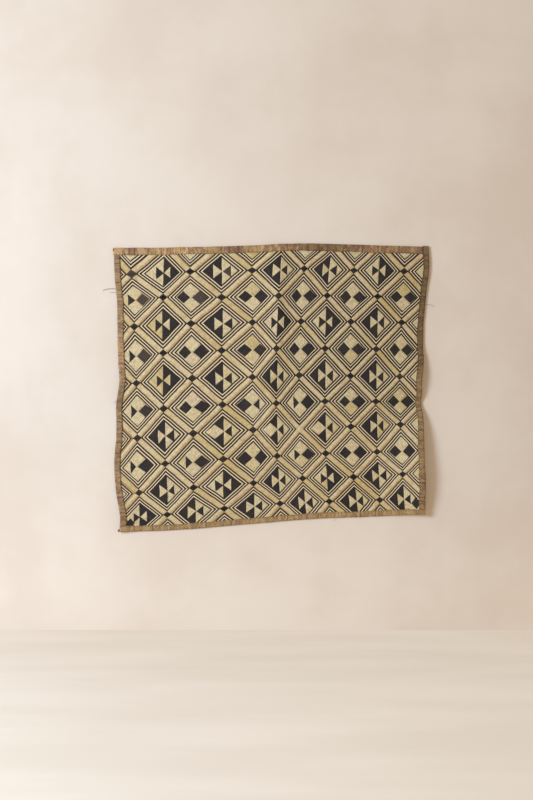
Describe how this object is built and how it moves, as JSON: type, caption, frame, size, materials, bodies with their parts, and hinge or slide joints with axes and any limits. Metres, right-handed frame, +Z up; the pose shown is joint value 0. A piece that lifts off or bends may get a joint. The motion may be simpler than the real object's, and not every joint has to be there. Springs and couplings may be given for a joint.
{
  "type": "kuba raffia cloth",
  "caption": "Embroidered raffia cloth panel in a diamond lattice pattern, edged with folded raffia strips, hanging flat against a wall from its top edge.",
  "frame": {"origin": "middle of the cloth's top edge, on the wall that the cloth hangs against", "axes": "+X to the right as the cloth is seen, +Y into the wall, +Z up; the wall is the plane Y = 0 and the cloth lies on its -Y side"},
  "size_m": [0.6113, 0.0255, 0.5601],
  "materials": {
    "embroidered_raffia": "natural raffia cloth under cream and black-brown cut pile and stitched lines, matt with a slight straw sheen",
    "edge_raffia": "plain woven raffia strip, mottled brown, matt"
  },
  "bodies": {
    "root": {"panel": "embroidered_raffia", "binding_top": "edge_raffia", "binding_right": "edge_raffia", "binding_bottom": "edge_raffia", "binding_left": "edge_raffia"}
  },
  "joints": []
}
